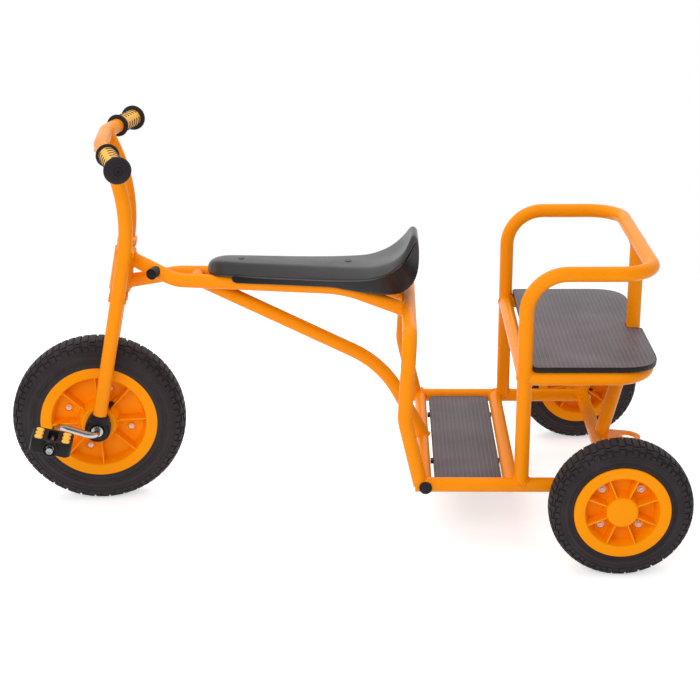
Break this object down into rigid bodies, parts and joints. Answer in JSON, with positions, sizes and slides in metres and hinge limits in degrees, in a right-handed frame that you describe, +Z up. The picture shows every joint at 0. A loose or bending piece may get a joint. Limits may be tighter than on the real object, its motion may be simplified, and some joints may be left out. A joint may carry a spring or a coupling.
{
  "type": "cargo tricycle",
  "caption": "Child's pedal cargo tricycle: front-wheel cranks, upright handlebar, moulded saddle, low step deck and a railed rear bench on a bent tube frame.",
  "frame": {"origin": "on the floor, under the middle of the tricycle's overall length and width", "axes": "+X forward, +Y to the rider's left, +Z up"},
  "size_m": [1.1915, 0.6396, 0.6979],
  "materials": {
    "orange_paint": "gloss",
    "orange_plastic": "satin",
    "board": "film-faced anti-slip ply",
    "saddle_plastic": "matt",
    "black_plastic": "matt",
    "black_rubber": "matt",
    "yellow_rubber": "matt",
    "steel": "zinc plated",
    "tyre": "matt"
  },
  "bodies": {
    "frame": {"main_tube_left": "orange_paint", "main_tube_right": "orange_paint", "main_bridge": "orange_paint", "diagonal_tube": "orange_paint", "head_tube": "orange_paint", "upright_hoop": "orange_paint", "deck_rail_left": "orange_paint", "deck_rail_right": "orange_paint", "deck_cross_tube_front": "orange_paint", "deck_cross_tube_rear": "orange_paint", "tube_plugs": "black_plastic", "deck_board": "board", "deck_clips": "black_plastic", "guard_rail": "orange_paint", "guard_post": "orange_paint", "bench_support_tube": "orange_paint", "bench_cross_tube": "orange_paint", "bench_board": "board", "bench_strut": "orange_paint", "axle_tube": "orange_paint", "rear_axle": "steel", "hitch_plate": "orange_paint", "saddle": "saddle_plastic", "bumper_left": "black_rubber", "bumper_right": "black_rubber"},
    "steering": {"fork_leg_left": "orange_paint", "fork_leg_right": "orange_paint", "handlebar": "orange_paint", "grip_left": "black_rubber", "grip_right": "black_rubber", "crown_upper": "orange_paint", "crown_lower": "orange_paint", "steerer_bolt": "steel", "bearing_housing_left": "black_plastic", "bearing_housing_right": "black_plastic"},
    "front_wheel": {"front_tyre": "tyre", "front_rim": "orange_plastic", "cranked_axle": "steel", "pedal_nuts": "steel"},
    "pedal_left": {"pedal_left": "black_plastic", "pedal_pads_left": "yellow_rubber"},
    "pedal_right": {"pedal_right": "black_plastic", "pedal_pads_right": "yellow_rubber"},
    "rear_wheel_left": {"rear_tyre_left": "tyre", "rear_rim_left": "orange_plastic", "hub_cap_left": "orange_plastic"},
    "rear_wheel_right": {"rear_tyre_right": "tyre", "rear_rim_right": "orange_plastic", "hub_cap_right": "orange_plastic"}
  },
  "joints": [
    {"name": "steering_turn", "type": "hinge", "parent": "frame", "child": "steering", "pos_m": [0.4384, 0, 0.158], "axis": [-0.2045, 0, 0.9789], "range_deg": [-43, 31]},
    {"name": "front_wheel_spin", "type": "hinge", "parent": "steering", "child": "front_wheel", "pos_m": [0.4384, 0, 0.158], "axis": [-0.1023, 0.9945, -0.0214], "continuous": true},
    {"name": "pedal_left_spin", "type": "hinge", "parent": "front_wheel", "child": "pedal_left", "pos_m": [0.48909, 0.17212, 0.1809], "axis": [-0.1023, 0.9945, -0.0214], "continuous": true},
    {"name": "pedal_right_spin", "type": "hinge", "parent": "front_wheel", "child": "pedal_right", "pos_m": [0.38771, -0.17212, 0.1351], "axis": [-0.1023, 0.9945, -0.0214], "continuous": true},
    {"name": "rear_wheel_left_spin", "type": "hinge", "parent": "frame", "child": "rear_wheel_left", "pos_m": [-0.4766, 0.2915, 0.119], "axis": [0, 1, 0], "continuous": true},
    {"name": "rear_wheel_right_spin", "type": "hinge", "parent": "frame", "child": "rear_wheel_right", "pos_m": [-0.4766, -0.2915, 0.119], "axis": [0, 1, 0], "continuous": true}
  ]
}
